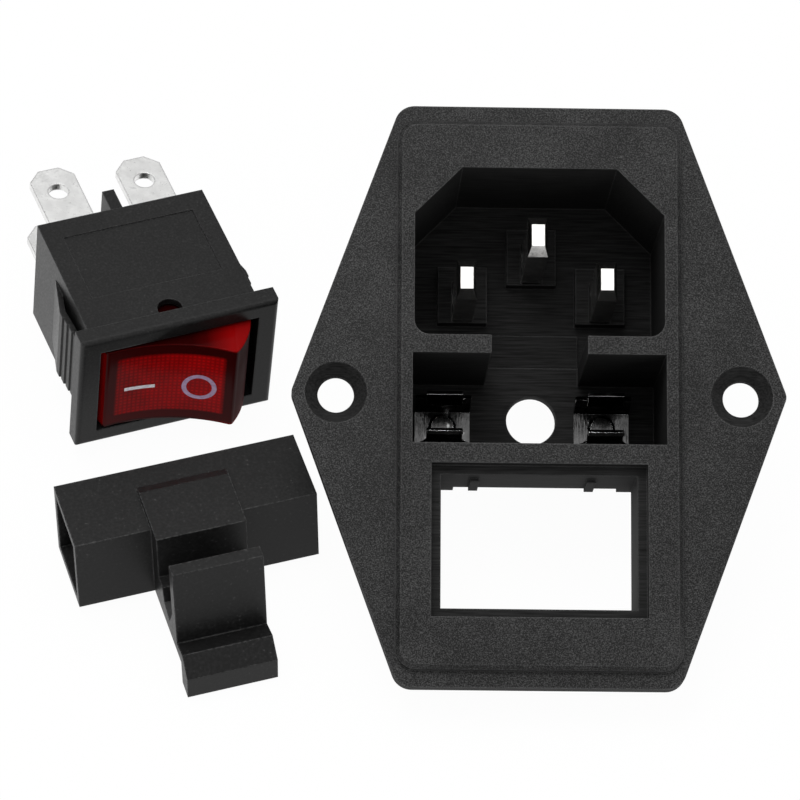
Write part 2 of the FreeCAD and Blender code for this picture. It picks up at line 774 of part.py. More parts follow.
rear_slots = [rectangle(x - slot_half, slot_low, x + slot_half, slot_high)
              for x in (clip_left, clip_right)]
carrier.cut("XZ", rear_slots, inner_high, carrier_height)
keep(carrier.body, CARRIER)


# Switch case: bezel and case in one moulding, open in front and pierced behind for the terminals
case = Model("switch_case")
bezel = rectangle(-bezel_length / 2, -bezel_height / 2, bezel_length / 2, bezel_height / 2)
case.add("XY", [bezel], -S.bezel_thickness, 0)
case.dress("Fillet", lambda edge: edge.BoundBox.ZMin > -0.01, S.bezel_edge_radius)
case_rear = -S.case_depth
case_outline = rectangle(-case_length / 2, -case_height / 2, case_length / 2, case_height / 2)
case.add("XY", [case_outline], case_rear, -S.bezel_thickness)
opening = rectangle(-S.opening_length / 2, -S.opening_height / 2, S.opening_length / 2, S.opening_height / 2)
fulcrum_z = -S.pivot_depth - S.plunger_reach - S.plunger_gap - S.bridge_sheet
case_floor = fulcrum_z - S.bridge_rise
case.cut("XY", [opening], case_floor, 0)
partition = rectangle(-S.opening_length / 2, -S.partition_half, S.opening_length / 2, S.partition_half)
case.add("XY", [partition], case_floor, case_floor + S.partition_height)
post = rectangle(-S.post_half_width, -S.post_half_height, S.post_half_width, S.post_half_height)
case.add("XY", [post], case_rear - S.post_length, case_rear)
pivot = -S.pivot_depth
trunnion_hole = S.trunnion_radius + S.trunnion_clearance
case.cut("XZ", [disc(0, pivot, trunnion_hole)], -case_height / 2, case_height / 2)

# Snap wings: sprung tongues on the short sides, serrated where they grip the panel
wing_front = -S.bezel_thickness - 0.5
wing_rear = wing_front - S.wing_length
wing_peak = wing_front - S.wing_length * 0.5
wing_sheet = 0.6
tooth_count = 5
tooth_pitch = (wing_front - wing_peak) / tooth_count
tooth_fall = (S.wing_bulge - 0.5) / tooth_count
for flank in (-1, 1):
    wall = case_length / 2
    wing = [((wall - 0.2) * flank, wing_rear), ((wall + S.wing_bulge) * flank, wing_peak)]
    for number in range(tooth_count):
        z = wing_peak + tooth_pitch * (number + 1)
        out = wall + S.wing_bulge - tooth_fall * number
        wing.append((out * flank, z - tooth_pitch * 0.25))
        wing.append(((out - tooth_fall * 2) * flank, z - tooth_pitch * 0.15))
        wing.append(((out - tooth_fall) * flank, z))
    wing.append(((wall + 0.1) * flank, wing_front))
    wing.append(((wall + S.wing_bulge - wing_sheet) * flank, wing_peak))
    wing.append(((wall - 0.2) * flank, wing_rear + S.wing_length * 0.2))
    case.add("XZ", [wing], -case_height / 2 + S.wing_margin, case_height / 2 - S.wing_margin)

# Slots for the terminals and the field on the long side
poles = [("a", S.pole_offset), ("b", -S.pole_offset)]


def terminal_row(y):
    """The height of a terminal's blade, a little outside the middle of its pole."""
    return y + S.terminal_shift * (1 if float(y) > 0 else -1)


term_x = S.terminal_spacing / 2
term_slot_x = S.terminal_width / 2 + S.pin_clearance
term_slot_y = S.terminal_thickness / 2 + S.pin_clearance
term_slots = []
for pole, y in poles:
    for x in (-term_x, term_x):
        row = terminal_row(y)
        term_slots.append(rectangle(x - term_slot_x, row - term_slot_y, x + term_slot_x, row + term_slot_y))
case.cut("XY", term_slots, case_rear, case_floor)
field = rectangle(-case_length * 0.39, case_rear + 2.4, case_length * 0.39, case_rear + 11.2)
case.cut("XZ", [field], case_height / 2 - 0.15, case_height / 2)
keep(case.body, SWITCH)


# Terminals: a spade outside, a fulcrum or a contact rivet inside
contact_top = case_floor + S.terminal_thickness + S.contact_height


def terminal(label, x, y, step, common):
    spade = Model(label)
    end = case_rear - S.terminal_reach + step
    half = S.terminal_width / 2
    half_thick = S.terminal_thickness / 2
    outline = [
        (x - half, case_floor),
        (x - half, end + 1.3),
        (x - half + 1.3, end),
        (x + half - 1.3, end),
        (x + half, end + 1.3),
        (x + half, case_floor),
    ]
    row = terminal_row(y)
    spade.add("XZ", [outline], row - half_thick, row + half_thick)
    spade.cut("XZ", [disc(x, end + S.terminal_hole_inset, S.terminal_hole_diameter / 2)],
              row - half_thick, row + half_thick)
    if common:
        foot = rectangle(x - half, y - S.bridge_width / 2, S.bridge_sheet, y + S.bridge_width / 2)
        spade.add("XY", [foot], case_floor, case_floor + S.terminal_thickness)
        saddle_outline = [
            (-0.9, case_floor + S.terminal_thickness),
            (0.6, case_floor + S.terminal_thickness),
            (0.15, fulcrum_z - S.contact_gap),
            (-0.15, fulcrum_z - S.contact_gap),
        ]
        spade.add("XZ", [saddle_outline], y - S.bridge_width / 2, y + S.bridge_width / 2)
    else:
        foot = rectangle(x - half, y - S.bridge_width / 2, x + half, y + S.bridge_width / 2)
        spade.add("XY", [foot], case_floor, case_floor + S.terminal_thickness)
        spade.add("XY", [disc(x, y, S.contact_radius)], case_floor + S.terminal_thickness, contact_top)
    keep(spade.body, SWITCH)


for pole, pole_y in poles:
    terminal(f"terminal_{pole}_left", -term_x, pole_y, as_size(0), True)
    terminal(f"terminal_{pole}_right", term_x, pole_y, S.terminal_step, False)


# Rocker: a dished translucent shell on two trunnions, leaning with its left end pressed
ROCKER = SWITCH.multiply(
    Placement(Vector(0, 0, float(pivot)), Rotation(Vector(0, 1, 0), -float(S.rocker_lean))))
rocker = Model("rocker")
end_x = S.rocker_half_length * 0.8
skirt_x = S.rocker_half_length * 0.98
dish_low = S.rocker_rise - S.rocker_dish
shell_outline = [
    (-skirt_x, -S.rocker_skirt),
    (skirt_x, -S.rocker_skirt, (S.rocker_half_length, 1.2)),
    (end_x, S.rocker_rise, (0, dish_low)),
    (-end_x, S.rocker_rise, (-S.rocker_half_length, 1.2)),
]
rocker.add("XZ", [shell_outline], -S.rocker_half_height, S.rocker_half_height)
rocker.dress("Fillet", lambda edge: edge.BoundBox.ZMin > float(S.rocker_rise) - 0.01, 0.4)
wall = S.rocker_wall
hollow = [
    (-skirt_x + wall, -S.rocker_skirt),
    (skirt_x - wall, -S.rocker_skirt, (S.rocker_half_length - wall, 0.9)),
    (end_x - wall * 0.9, S.rocker_rise - wall * 1.7, (0, dish_low - wall)),
    (-end_x + wall * 0.9, S.rocker_rise - wall * 1.7, (-S.rocker_half_length + wall, 0.9)),
]
inner_half = S.rocker_half_height - wall * 0.8
rocker.cut("XZ", [hollow], -inner_half, inner_half)
guide_foot = -S.rocker_skirt - 0.8
guide_top = dish_low - wall + 0.2
spring_seat = dish_low - wall - 1.0
bore_radius = S.plunger_radius + 0.06
guide_radius = bore_radius + S.plunger_guide
rocker.add("XY", [disc(0, y, guide_radius) for pole, y in poles], guide_foot, guide_top)
lamp_z = guide_top - 0.5 - S.lamp_radius
for x in (-2.2, 2.2):
    rocker.add("XY", [rectangle(x - 0.3, -S.lamp_radius - 0.5, x + 0.3, S.lamp_radius + 0.5)],
               lamp_z - 0.6, dish_low - wall + 0.7)
lamp_seat = S.lamp_radius + 0.05
rocker.cut("YZ", [disc(0, lamp_z, lamp_seat)], -S.lamp_length / 2 - 0.1, S.lamp_length / 2 + 0.1)
rocker.cut("XY", [disc(0, y, bore_radius) for pole, y in poles], guide_foot, spring_seat)
trunnion_end = case_height / 2 - S.trunnion_recess
rocker.add("XZ", [disc(0, 0, S.trunnion_radius)], S.rocker_half_height - 0.2, trunnion_end)
rocker.add("XZ", [disc(0, 0, S.trunnion_radius)], -trunnion_end, -S.rocker_half_height + 0.2)
keep(rocker.body, ROCKER)


# Sprung plungers in the rocker, which press the bridges over
plunger_top = -S.rocker_skirt + 0.4


def plunger(label, y):
    pin = Model(label)
    tip = -S.plunger_reach
    radius = S.plunger_radius
    outline = [
        (0, plunger_top),
        (0, tip),
        (radius * 0.4, tip + radius * 0.08),
        (radius * 0.8, tip + radius * 0.4),
        (radius, tip + radius),
        (radius, plunger_top),
    ]
    pin.revolve("XZ", outline, "V_Axis")
    keep(pin.body, ROCKER.multiply(Placement(Vector(0, float(y), 0), Rotation())))


def spring(label, y):
    wire = float(S.spring_wire_radius)
    mean = float(S.plunger_radius) - wire - 0.15
    low = float(plunger_top) + wire
    height = float(spring_seat) - wire - low
    helix = Part.makeHelix(height / float(S.spring_coils), height, mean)
    helix.translate(Vector(0, 0, low))
    corners = []
    for number in range(5):
        angle = math.radians(90 * number)
        corners.append(Vector(mean + wire * math.cos(angle), 0, low + wire * math.sin(angle)))
    coil = Part.Wire(helix.Edges).makePipeShell([Part.makePolygon(corners)], True, True)
    shape_part(label, coil, ROCKER.multiply(Placement(Vector(0, float(y), 0), Rotation())))


for pole, pole_y in poles:
    plunger(f"plunger_{pole}", pole_y)
    spring(f"plunger_spring_{pole}", pole_y)


# Seesaw bridges: shallow vees of sheet that rock on the left terminals
def bridge(label, y):
    rake = math.tan(math.radians(float(S.bridge_rake)))
    arm = float(S.bridge_arm)
    low = float(y) - float(S.bridge_width) / 2
    vee = strip([(arm, arm * rake), (0, 0), (-arm, arm * rake)][::-1], S.bridge_sheet,
                low, low + float(S.bridge_width), "Y")
    contact_x = float(term_x)
    radius = float(S.contact_radius)
    lean_angle = math.radians(float(S.bridge_lean))
    seat = float(contact_top + S.contact_gap - fulcrum_z)
    button_low = (seat + (contact_x + radius) * math.sin(lean_angle)) / math.cos(lean_angle)
    button_top = contact_x * rake + float(S.bridge_sheet) / 2
    button = Part.makeCylinder(radius, button_top - button_low, Vector(contact_x, float(y), button_low))
    shape = vee.fuse(button).removeSplitter()
    lean = Rotation(Vector(0, 1, 0), float(S.bridge_lean))
    shape_part(label, shape, SWITCH.multiply(Placement(Vector(0, 0, float(fulcrum_z)), lean)))


for pole, pole_y in poles:
    bridge(f"bridge_{pole}", pole_y)


# Lamp, its resistor and their leads inside the rocker
def wire_path(points, radius):
    """A wire of straight runs with mitred elbows."""
    points = [Vector(*point) for point in points]
    section = Part.Wire(Part.Circle(points[0], points[1] - points[0], radius).toShape())
    return Part.makePolygon(points).makePipeShell([section], True, False, 1)


lamp = Model("neon_lamp")
half_lamp = S.lamp_length / 2
lamp_outline = [
    (-half_lamp, 0),
    (-half_lamp, S.lamp_radius),
    (half_lamp - S.lamp_radius * 0.85, S.lamp_radius),
    (half_lamp - S.lamp_radius * 0.3, S.lamp_radius * 0.75),
    (half_lamp, S.lamp_radius * 0.3),
    (half_lamp, 0),
]
lamp.revolve("XZ", lamp_outline, "H_Axis")
keep(lamp.body, ROCKER.multiply(Placement(Vector(0, 0, float(lamp_z)), Rotation())))

lead = float(S.lead_radius)
lamp_height = float(lamp_z)
lamp_end = float(half_lamp)
guide_y = float(S.pole_offset)
resistor_x = lamp_end + 1.6
resistor_half = float(S.resistor_length) / 2
resistor_outline = [
    (-S.resistor_length / 2, 0),
    (-S.resistor_length / 2, S.resistor_radius),
    (S.resistor_length / 2, S.resistor_radius),
    (S.resistor_length / 2, 0),
]
resistor = Model("ballast_resistor")
resistor.revolve("XZ", resistor_outline, "H_Axis")
across = Placement(Vector(resistor_x, 0, lamp_height), Rotation(Vector(0, 0, 1), 90))
keep(resistor.body, ROCKER.multiply(across))

left_lead = wire_path([(-lamp_end, -0.5, lamp_height), (-lamp_end - 0.8, -0.5, lamp_height),
                       (-lamp_end - 0.8, -guide_y, lamp_height),
                       (-float(guide_radius) - 0.02, -guide_y, lamp_height)], lead)
shape_part("lamp_lead_left", left_lead, ROCKER)
right_lead = wire_path([(resistor_x, resistor_half, lamp_height),
                        (resistor_x, guide_y, lamp_height),
                        (float(guide_radius) + 0.02, guide_y, lamp_height)], lead)
shape_part("lamp_lead_right", right_lead, ROCKER)


# Centre the whole layout on the origin, check every object, then write the files
def whole_box():
    box = FreeCAD.BoundBox()
    for node in nodes:
        box.add(node.Shape.BoundBox)
    return box


doc.recompute()
box = whole_box()
shift = Placement(Vector(-box.Center.x, -box.Center.y, -box.ZMin), Rotation())
for node in nodes:
    node.Placement = shift.multiply(node.Placement)
doc.recompute()

for obj in doc.Objects:
    if "Invalid" in obj.State or "Error" in obj.State:
        raise RuntimeError(f"{obj.Name} failed: {obj.State}")
for node in nodes:
    if node.Shape.isNull() or not node.Shape.isValid():
        raise RuntimeError(f"{node.Label} has no valid shape")
for node in nodes:
    node.Shape.exportStep(f"parts/{node.Label}.step")

box = whole_box()
print(f"{len(nodes)} pieces, {box.XLength:.2f} x {box.YLength:.2f} x {box.ZLength:.2f} mm")
print(f"layout shift {shift.Base.x:.4f} {shift.Base.y:.4f} {shift.Base.z:.4f}, housing lean "
      f"{math.degrees(LEAN):.3f}")
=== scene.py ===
import bpy
import json
import math
from mathutils import Matrix, Vector


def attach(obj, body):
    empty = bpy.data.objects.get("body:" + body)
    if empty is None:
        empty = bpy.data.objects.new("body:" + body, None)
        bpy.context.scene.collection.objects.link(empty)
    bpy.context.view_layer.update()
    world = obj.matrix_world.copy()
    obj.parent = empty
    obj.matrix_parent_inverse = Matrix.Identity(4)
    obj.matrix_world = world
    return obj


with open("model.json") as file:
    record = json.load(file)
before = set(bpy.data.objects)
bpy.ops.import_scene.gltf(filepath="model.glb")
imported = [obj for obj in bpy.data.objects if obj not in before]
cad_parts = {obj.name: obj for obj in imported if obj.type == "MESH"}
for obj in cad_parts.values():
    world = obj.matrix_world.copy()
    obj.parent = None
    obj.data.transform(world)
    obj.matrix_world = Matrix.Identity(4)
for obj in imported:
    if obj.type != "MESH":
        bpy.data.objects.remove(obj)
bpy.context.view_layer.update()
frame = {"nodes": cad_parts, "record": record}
MM = 0.001


# Local frames of the housing and of the leaning rocker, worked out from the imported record
FLANGE_THICKNESS = 2.0 * MM
ROCKER_LEAN = math.radians(16)

mounts = {mount["name"]: mount for mount in frame["record"]["mounts"]}
joints = {joint["name"]: joint for joint in frame["record"]["behaviour"]["joints"]}


def axes_frame(origin, x_axis, y_axis, z_axis):
    """The matrix that takes places along local axes to places in the part's frame."""
    matrix = Matrix((x_axis, y_axis, z_axis)).transposed().to_4x4()
    matrix.translation = origin
    return matrix


# Housing: x across, y up the flange and z out of its front face
across = Vector((1, 0, 0))
face = Vector(mounts["panel_screws"]["axis"]).normalized()
flange_front = Vector(mounts["panel_screws"]["pos_m"]) + face * FLANGE_THICKNESS
housing = axes_frame(flange_front, across, face.cross(across), face)

# Rocker: x along it, y along its pivot and z out of the switch, turned by its lean
outward = -Vector(mounts["switch_clip_in"]["axis"]).normalized()
tilt_axis = Vector(joints["rocker_tilt"]["axis"]).normalized()
pivot = Vector(joints["rocker_tilt"]["pos_m"])
switch_axes = axes_frame(Vector((0, 0, 0)), tilt_axis.cross(outward), tilt_axis, outward)
lean = Matrix.Rotation(-ROCKER_LEAN, 4, tilt_axis)
rocker = Matrix.Translation(pivot) @ lean @ switch_axes


# Material helpers
EDGE_STARTS, EDGE_IS_FULL = 0.985, 0.80  # cosines between the plain normal and the softened one
PAINTED_EDGE_SHARE = 0.45  # how far an edge moves up its material's ramp of tints, towards its painted edge light
NOISE_LOW, NOISE_HIGH = 0.3, 0.7  # between these lies nearly all of a noise


class Nodes:
    """Short calls for building one node tree."""

    def __init__(self, name):
        self.material = bpy.data.materials.new(name)
        self.material.use_nodes = True
        self.tree = self.material.node_tree
        self.tree.nodes.clear()
        self.output = self.tree.nodes.new("ShaderNodeOutputMaterial")

    def add(self, kind, links=None, values=None, **settings):
        node = self.tree.nodes.new("ShaderNode" + kind)
        for key, value in settings.items():
            setattr(node, key, value)
        for key, value in (values or {}).items():
            node.inputs[key].default_value = value
        for key, source in (links or {}).items():
            self.tree.links.new(source, node.inputs[key])
        return node

    def place(self):
        return self.add("TexCoord").outputs["Object"]

    def noise(self, place, scale, detail=2.0):
        """Noise with so many cells in a metre."""
        values = {"Scale": scale, "Detail": detail}
        return self.add("TexNoise", {"Vector": place}, values).outputs["Fac"]

    def stretch(self, place, scale):
        return self.add("Mapping", {"Vector": place}, {"Scale": scale}).outputs[0]

    def ramp(self, source, stops):
        node = self.add("ValToRGB", {"Fac": source})
        elements = node.color_ramp.elements
        while len(elements) < len(stops):
            elements.new(0.5)
        for element, (position, colour) in zip(elements, stops):
            element.position = position
            element.color = (*colour[:3], 1)
        return node.outputs["Color"]

    def calc(self, operation, *terms):
        """One sum on sockets and plain numbers."""
        node = self.add("Math", operation=operation)
        for slot, term in zip(node.inputs, terms):
            if isinstance(term, (int, float)):
                slot.default_value = term
            else:
                self.tree.links.new(term, slot)
        return node.outputs[0]

    def span(self, source, start, end, low=0.0, high=1.0):
        """A value that runs from low to high while the source runs from start to end."""
        limits = {"From Min": start, "From Max": end, "To Min": low, "To Max": high}
        return self.add("MapRange", {"Value": source}, limits).outputs[0]

    def span_mm(self, source, start, end, low=0.0, high=1.0):
        """The same along a local axis, from start to end in mm."""
        return self.span(source, start * MM, end * MM, low, high)

    def blend(self, share, first, second):
        """The first value where share is 0, the second where it is 1."""
        other = self.calc("MULTIPLY", share, second)
        rest = self.calc("SUBTRACT", 1.0, share)
        return self.calc("MULTIPLY_ADD", rest, first, other)

    def local(self, place, matrix):
        """Coordinates along the axes of a local frame."""
        turn = matrix.inverted()
        values = {"Location": turn.translation, "Rotation": turn.to_euler()}
        mapped = self.add("Mapping", {"Vector": place}, values)
        return self.add("SeparateXYZ", {"Vector": mapped.outputs[0]}).outputs

    def edges(self, radius_mm):
        """A softened normal and a mask of the edges that it softens."""
        soft = self.add("Bevel", values={"Radius": radius_mm * MM}, samples=3).outputs[0]
        plain = self.add("NewGeometry").outputs["Normal"]
        facing = self.add("VectorMath", {0: soft, 1: plain}, operation="DOT_PRODUCT")
        return soft, self.span(facing.outputs["Value"], EDGE_STARTS, EDGE_IS_FULL)

    def bump(self, height, normal, strength, distance_mm):
        values = {"Strength": strength, "Distance": distance_mm * MM}
        return self.add("Bump", {"Height": height, "Normal": normal}, values).outputs[0]

    def finish(self, shader):
        self.tree.links.new(shader, self.output.inputs["Surface"])
        return self.material

    def finish_principled(self, links, values):
        return self.finish(self.add("BsdfPrincipled", links, values).outputs[0])


def grey(level):
    return (level, level, level, 1)


# Materials
def moulded_plastic(name, dark, light, roughness, grain_mm, grain_height_mm,
                    specular=0.2, painted_edge_tint=0.05, edge_mm=0.22, zone=None):
    """Moulded black plastic with a fine grain, faint mottling and edges painted lighter as a
    highlight.

    The zone gives the share of grain at each place, so that walls inside can stay smooth."""
    mottle_scale, mottle_share = 160.0, 0.2
    brushed_scale, brushed_stretch = 6000.0, (0.05, 1, 1)
    brushed_low, brushed_spread = 0.36, 0.24
    smooth_wall_dullness, roughness_spread = 0.35, 0.06

    n = Nodes(name)
    place = n.place()
    grain = n.noise(place, 1 / (grain_mm * MM), 1.0)
    mottle = n.noise(place, mottle_scale, 3.0)
    soft, painted_edges = n.edges(edge_mm)
    level = n.calc("ADD", grain, n.calc("MULTIPLY_ADD", mottle, mottle_share, -mottle_share / 2))
    height = grain
    dullness = 0.0
    if zone is not None:
        grained = zone(n, place)
        brushed = n.noise(n.stretch(place, brushed_stretch), brushed_scale)
        smooth = n.calc("MULTIPLY_ADD", brushed, brushed_spread, brushed_low)
        level = n.blend(grained, smooth, level)
        height = n.calc("MULTIPLY", grain, grained)
        dullness = n.calc("MULTIPLY_ADD", grained, -smooth_wall_dullness, smooth_wall_dullness)
    normal = n.bump(height, soft, 1.0, grain_height_mm)
    # Painted highlight: the edges move up the ramp towards the lighter edge tint at its top.
    level = n.calc("MULTIPLY_ADD", painted_edges, PAINTED_EDGE_SHARE, level)
    tint = n.ramp(level, [(0.42, dark), (0.72, light), (1.0, grey(painted_edge_tint))])
    varied = n.span(level, NOISE_LOW, NOISE_HIGH,
                    roughness - roughness_spread, roughness + roughness_spread)
    links = {"Base Color": tint, "Roughness": n.calc("ADD", varied, dullness), "Normal": normal}
    return n.finish_principled(links, {"Specular IOR Level": specular})


def grained_front(n, place):
    """Share of grain on the housing: full on the flange and panel fronts, none elsewhere."""
    opening_half_width, opening_half_height = 13.2 * MM, 26.5 * MM
    just_under_panel, just_under_flange = 0.8 * MM, -0.1 * MM

    x, y, z = n.local(place, housing)
    within_width = n.calc("LESS_THAN", n.calc("ABSOLUTE", x), opening_half_width)
    within_height = n.calc("LESS_THAN", n.calc("ABSOLUTE", y), opening_half_height)
    inside = n.calc("MULTIPLY", within_width, within_height)
    sunk = n.calc("MULTIPLY", inside, n.calc("LESS_THAN", z, just_under_panel))
    behind = n.calc("LESS_THAN", z, just_under_flange)
    return n.calc("SUBTRACT", 1.0, n.calc("MAXIMUM", sunk, behind))


def sheet_metal(name, colour, roughness, stroke=(1, 1, 1), dent_mm=0.012,
                tarnish=0.75, painted_edge_tint=None, edge_mm=0.08):
    """Plated stamped metal: drawn marks, small dents, slight tarnish, and painted light on the
    edges, which are painted brighter and then in the given edge tint.

    The stroke stretches the marks along the axes where it is less than 1."""
    mark_scale, dent_scale, bump_strength = 5000.0, 700.0, 0.6
    smoothest, roughest = 0.8, 1.2

    n = Nodes(name)
    place = n.place()
    marks = n.noise(n.stretch(place, stroke), mark_scale, 3.0)
    dents = n.noise(place, dent_scale, 2.0)
    soft, painted_edges = n.edges(edge_mm)
    normal = n.bump(n.calc("ADD", marks, dents), soft, bump_strength, dent_mm)
    # Painted edge light: the edges move up the ramp to the full colour and on to the given edge
    # tint.
    level = n.calc("MULTIPLY_ADD", painted_edges, PAINTED_EDGE_SHARE, dents)
    stops = [(0.35, [channel * tarnish for channel in colour]), (0.65, colour)]
    if painted_edge_tint is not None:
        stops.append((0.85, painted_edge_tint))
    tint = n.ramp(level, stops)
    dull = n.ramp(marks, [(NOISE_LOW, grey(roughness * smoothest)),
                          (NOISE_HIGH, grey(roughness * roughest))])
    links = {"Base Color": tint, "Roughness": dull, "Normal": normal}
    return n.finish_principled(links, {"Metallic": 1.0})


def rocker_plastic(name):
    """Translucent red lens: a bright latticed field inside, deeper red walls round it, and painted
    light and shade: the field brighter towards the raised end, painted shade across the border and
    on the side faces, painted highlights on the pressed end and the edges, and painted shade on the
    pivot pins.
    """
    lattice_pitch, lattice_low, lattice_spread = 0.45 * MM, 0.50, 0.30
    cloud_scale, cloud_low, cloud_spread = 330.0, 0.55, 0.9
    edge_mm, edge_highlight_share, bump_strength, bump_mm = 0.22, 0.25, 0.15, 0.02
    # Where each zone starts and where it is full, in mm from the middle
    field_end, field_side = (5.6, 5.2), (4.2, 3.9)
    pressed_end, raised_end, side_face, trunnion_shade = (-6.5, -6.8), (6.3, 6.8), (5.1, 5.3), (5.42, 5.5)
    # How bright each zone is, from 0 to 1, and from one side of it to the other; the changes across
    # a zone are painted light and shade
    field_shaded_end, field_lit_end, border_lit_side, border_shaded_side = 0.8, 1.25, 0.27, 0.16
    pressed_end_highlight, side_in_shade, side_in_light = 0.75, 0.10, 0.5

    n = Nodes(name)
    place = n.place()
    x, y, _ = n.local(place, rocker)
    away_x, away_y = n.calc("ABSOLUTE", x), n.calc("ABSOLUTE", y)
    waves = []
    for value in (x, y):
        wave = n.calc("SINE", n.calc("MULTIPLY", value, 2 * math.pi / lattice_pitch))
        waves.append(n.calc("MULTIPLY_ADD", wave, 0.5, 0.5))
    lattice = n.calc("MULTIPLY_ADD", n.calc("MINIMUM", *waves), lattice_spread, lattice_low)
    cloud = n.noise(place, cloud_scale, 3.0)
    glow = n.calc("MULTIPLY", lattice, n.calc("MULTIPLY_ADD", cloud, cloud_spread, cloud_low))
    # Painted light: the field is painted brighter towards the raised end; glow here is painted
    # brightness, not a lamp.
    glow = n.calc("MULTIPLY", glow, n.span_mm(x, -6, 6, field_shaded_end, field_lit_end))
    field = n.calc("MULTIPLY", n.span_mm(away_x, *field_end), n.span_mm(away_y, *field_side))
    # Painted shade: the border is painted darker towards one side.
    level = n.blend(field, n.span_mm(y, -5, 5, border_lit_side, border_shaded_side), glow)
    # Painted highlight on the wall at the pressed end.
    level = n.blend(n.span_mm(x, *pressed_end), level, pressed_end_highlight)
    # Painted shade on the side faces, painted lighter towards the raised end.
    side = n.span_mm(x, 2, 6, side_in_shade, side_in_light)
    level = n.blend(n.span_mm(away_y, *side_face), level, side)
    # Painted highlight: the edges are painted lighter.
    soft, painted_edges = n.edges(edge_mm)
    level = n.calc("MULTIPLY_ADD", painted_edges, edge_highlight_share, level)
    # Painted shade: past the side faces the pivot pins are painted near black.
    level = n.calc("MULTIPLY", level, n.span_mm(away_y, *trunnion_shade, 1, 0))
    tint = n.ramp(level, [(0.0, (0.004, 0.0004, 0.0004)), (0.25, (0.05, 0.0008, 0.001)),
                          (1.0, (0.62, 0.003, 0.004))])
    dull = n.calc("ADD", n.span(cloud, NOISE_LOW, NOISE_HIGH, 0.12, 0.2),
                  n.span_mm(x, *raised_end, 0.0, 0.5))
    normal = n.bump(cloud, soft, bump_strength, bump_mm)
    links = {"Base Color": tint, "Roughness": dull, "Normal": normal}
    return n.finish_principled(links, {"Specular IOR Level": 0.05})


def printed(name, worn, full):
    """A printed mark, a little worn."""
    n = Nodes(name)
    wear = n.noise(n.place(), 3500.0, 3.0)
    tint = n.ramp(wear, [(0.3, worn), (0.6, full)])
    return n.finish_principled({"Base Color": tint}, {"Roughness": 0.45})


def clear_glass(name):
    """Lamp glass with a faint haze."""
    n = Nodes(name)
    haze = n.noise(n.place(), 900.0)
    dull = n.ramp(haze, [(NOISE_LOW, grey(0.03)), (NOISE_HIGH, grey(0.10))])
    values = {"Base Color": (0.95, 0.88, 0.82, 1), "Transmission Weight": 0.9, "IOR": 1.5}
    return n.finish_principled({"Roughness": dull}, values)


def lacquer(name):
    """Dipped body of the resistor, clouded tan."""
    n = Nodes(name)
    cloud = n.noise(n.place(), 1200.0)
    tint = n.ramp(cloud, [(NOISE_LOW, (0.42, 0.30, 0.18)), (NOISE_HIGH, (0.55, 0.42, 0.27))])
    return n.finish_principled({"Base Color": tint}, {"Roughness": 0.3})


MATERIALS = {
    # The edge tints of the three plastics are painted highlights.
    "inlet_housing": moulded_plastic(
        "housing_black", grey(0.0025), grey(0.064), roughness=0.45,
        grain_mm=0.125, grain_height_mm=0.035, painted_edge_tint=0.12, zone=grained_front),
    "fuse_carrier": moulded_plastic(
        "carrier_black", grey(0.010), grey(0.017), roughness=0.42,
        grain_mm=0.3, grain_height_mm=0.003, painted_edge_tint=0.12),
    "switch_case": moulded_plastic(
        "switch_black", grey(0.010), grey(0.018), roughness=0.36,
        grain_mm=0.22, grain_height_mm=0.004, painted_edge_tint=0.07),
    "rocker": rocker_plastic("rocker_red"),
    "neon_lamp": clear_glass("lamp_glass"),
    "ballast_resistor": lacquer("resistor_body"),
}
pin_metal = sheet_metal("pin_plate", (0.85, 0.84, 0.82), 0.2, stroke=(1, 1, 0.2))
# The clips' white edge tint is a painted highlight.
clip_metal = sheet_metal(
    "clip_plate", (0.085, 0.085, 0.085), 0.18, stroke=(1, 0.15, 0.15), dent_mm=0.05,
    tarnish=0.6, painted_edge_tint=(1.0, 1.0, 1.0), edge_mm=0.11)
# The terminals' grey edge tint paints their bevels darker: painted shade.
terminal_metal = sheet_metal(
    "terminal_plate", (0.93, 0.93, 0.92), 0.34, stroke=(1, 1, 0.3),
    tarnish=0.88, painted_edge_tint=(0.42, 0.42, 0.42), edge_mm=0.2)
brass = sheet_metal("plunger_brass", (0.72, 0.53, 0.28), 0.3)
wire = sheet_metal("spring_steel", (0.62, 0.62, 0.62), 0.3)
METALS = (
    (("pin_",), pin_metal),
    (("fuse_clip", "fuse_tag", "fuse_link", "clip_rivet"), clip_metal),
    (("terminal_", "bridge_"), terminal_metal),
    (("plunger_spring", "lamp_lead"), wire),
    (("plunger_",), brass),
)


def material_of(name):
    """A CAD node's own material, or else the first metal whose names it starts with."""
    if name in MATERIALS:
        return MATERIALS[name]
    return next(metal for starts, metal in METALS if name.startswith(starts))


for name, piece in frame["nodes"].items():
    piece.data.materials.clear()
    piece.data.materials.append(material_of(name))


# Printed I and O on the dished face of the rocker. Sizes in mm, along and across the rocker
ROCKER_RISE, ROCKER_DISH, ROCKER_HALF_LENGTH = 5.2, 1.15, 8.1
DISH_HALF_LENGTH = ROCKER_HALF_LENGTH * 0.8
DISH_RADIUS = (DISH_HALF_LENGTH ** 2 + ROCKER_DISH ** 2) / (2 * ROCKER_DISH)
PRINT_LIFT = 0.03
BAR_X, BAR_Y, BAR_LENGTH, BAR_WIDTH, BAR_STEPS = -3.0, -0.5, 3.1, 0.45, 16
RING_X, RING_Y, RING_INNER, RING_OUTER, RING_STEPS = 3.0, -0.6, 1.28, 1.75, 64


def on_dish(x, y):
    """A printed point of the rocker's face, in metres, from its place in mm."""
    sag = DISH_RADIUS - math.sqrt(DISH_RADIUS ** 2 - x ** 2)
    z = ROCKER_RISE - ROCKER_DISH + sag + PRINT_LIFT
    return rocker @ Vector((x * MM, y * MM, z * MM))


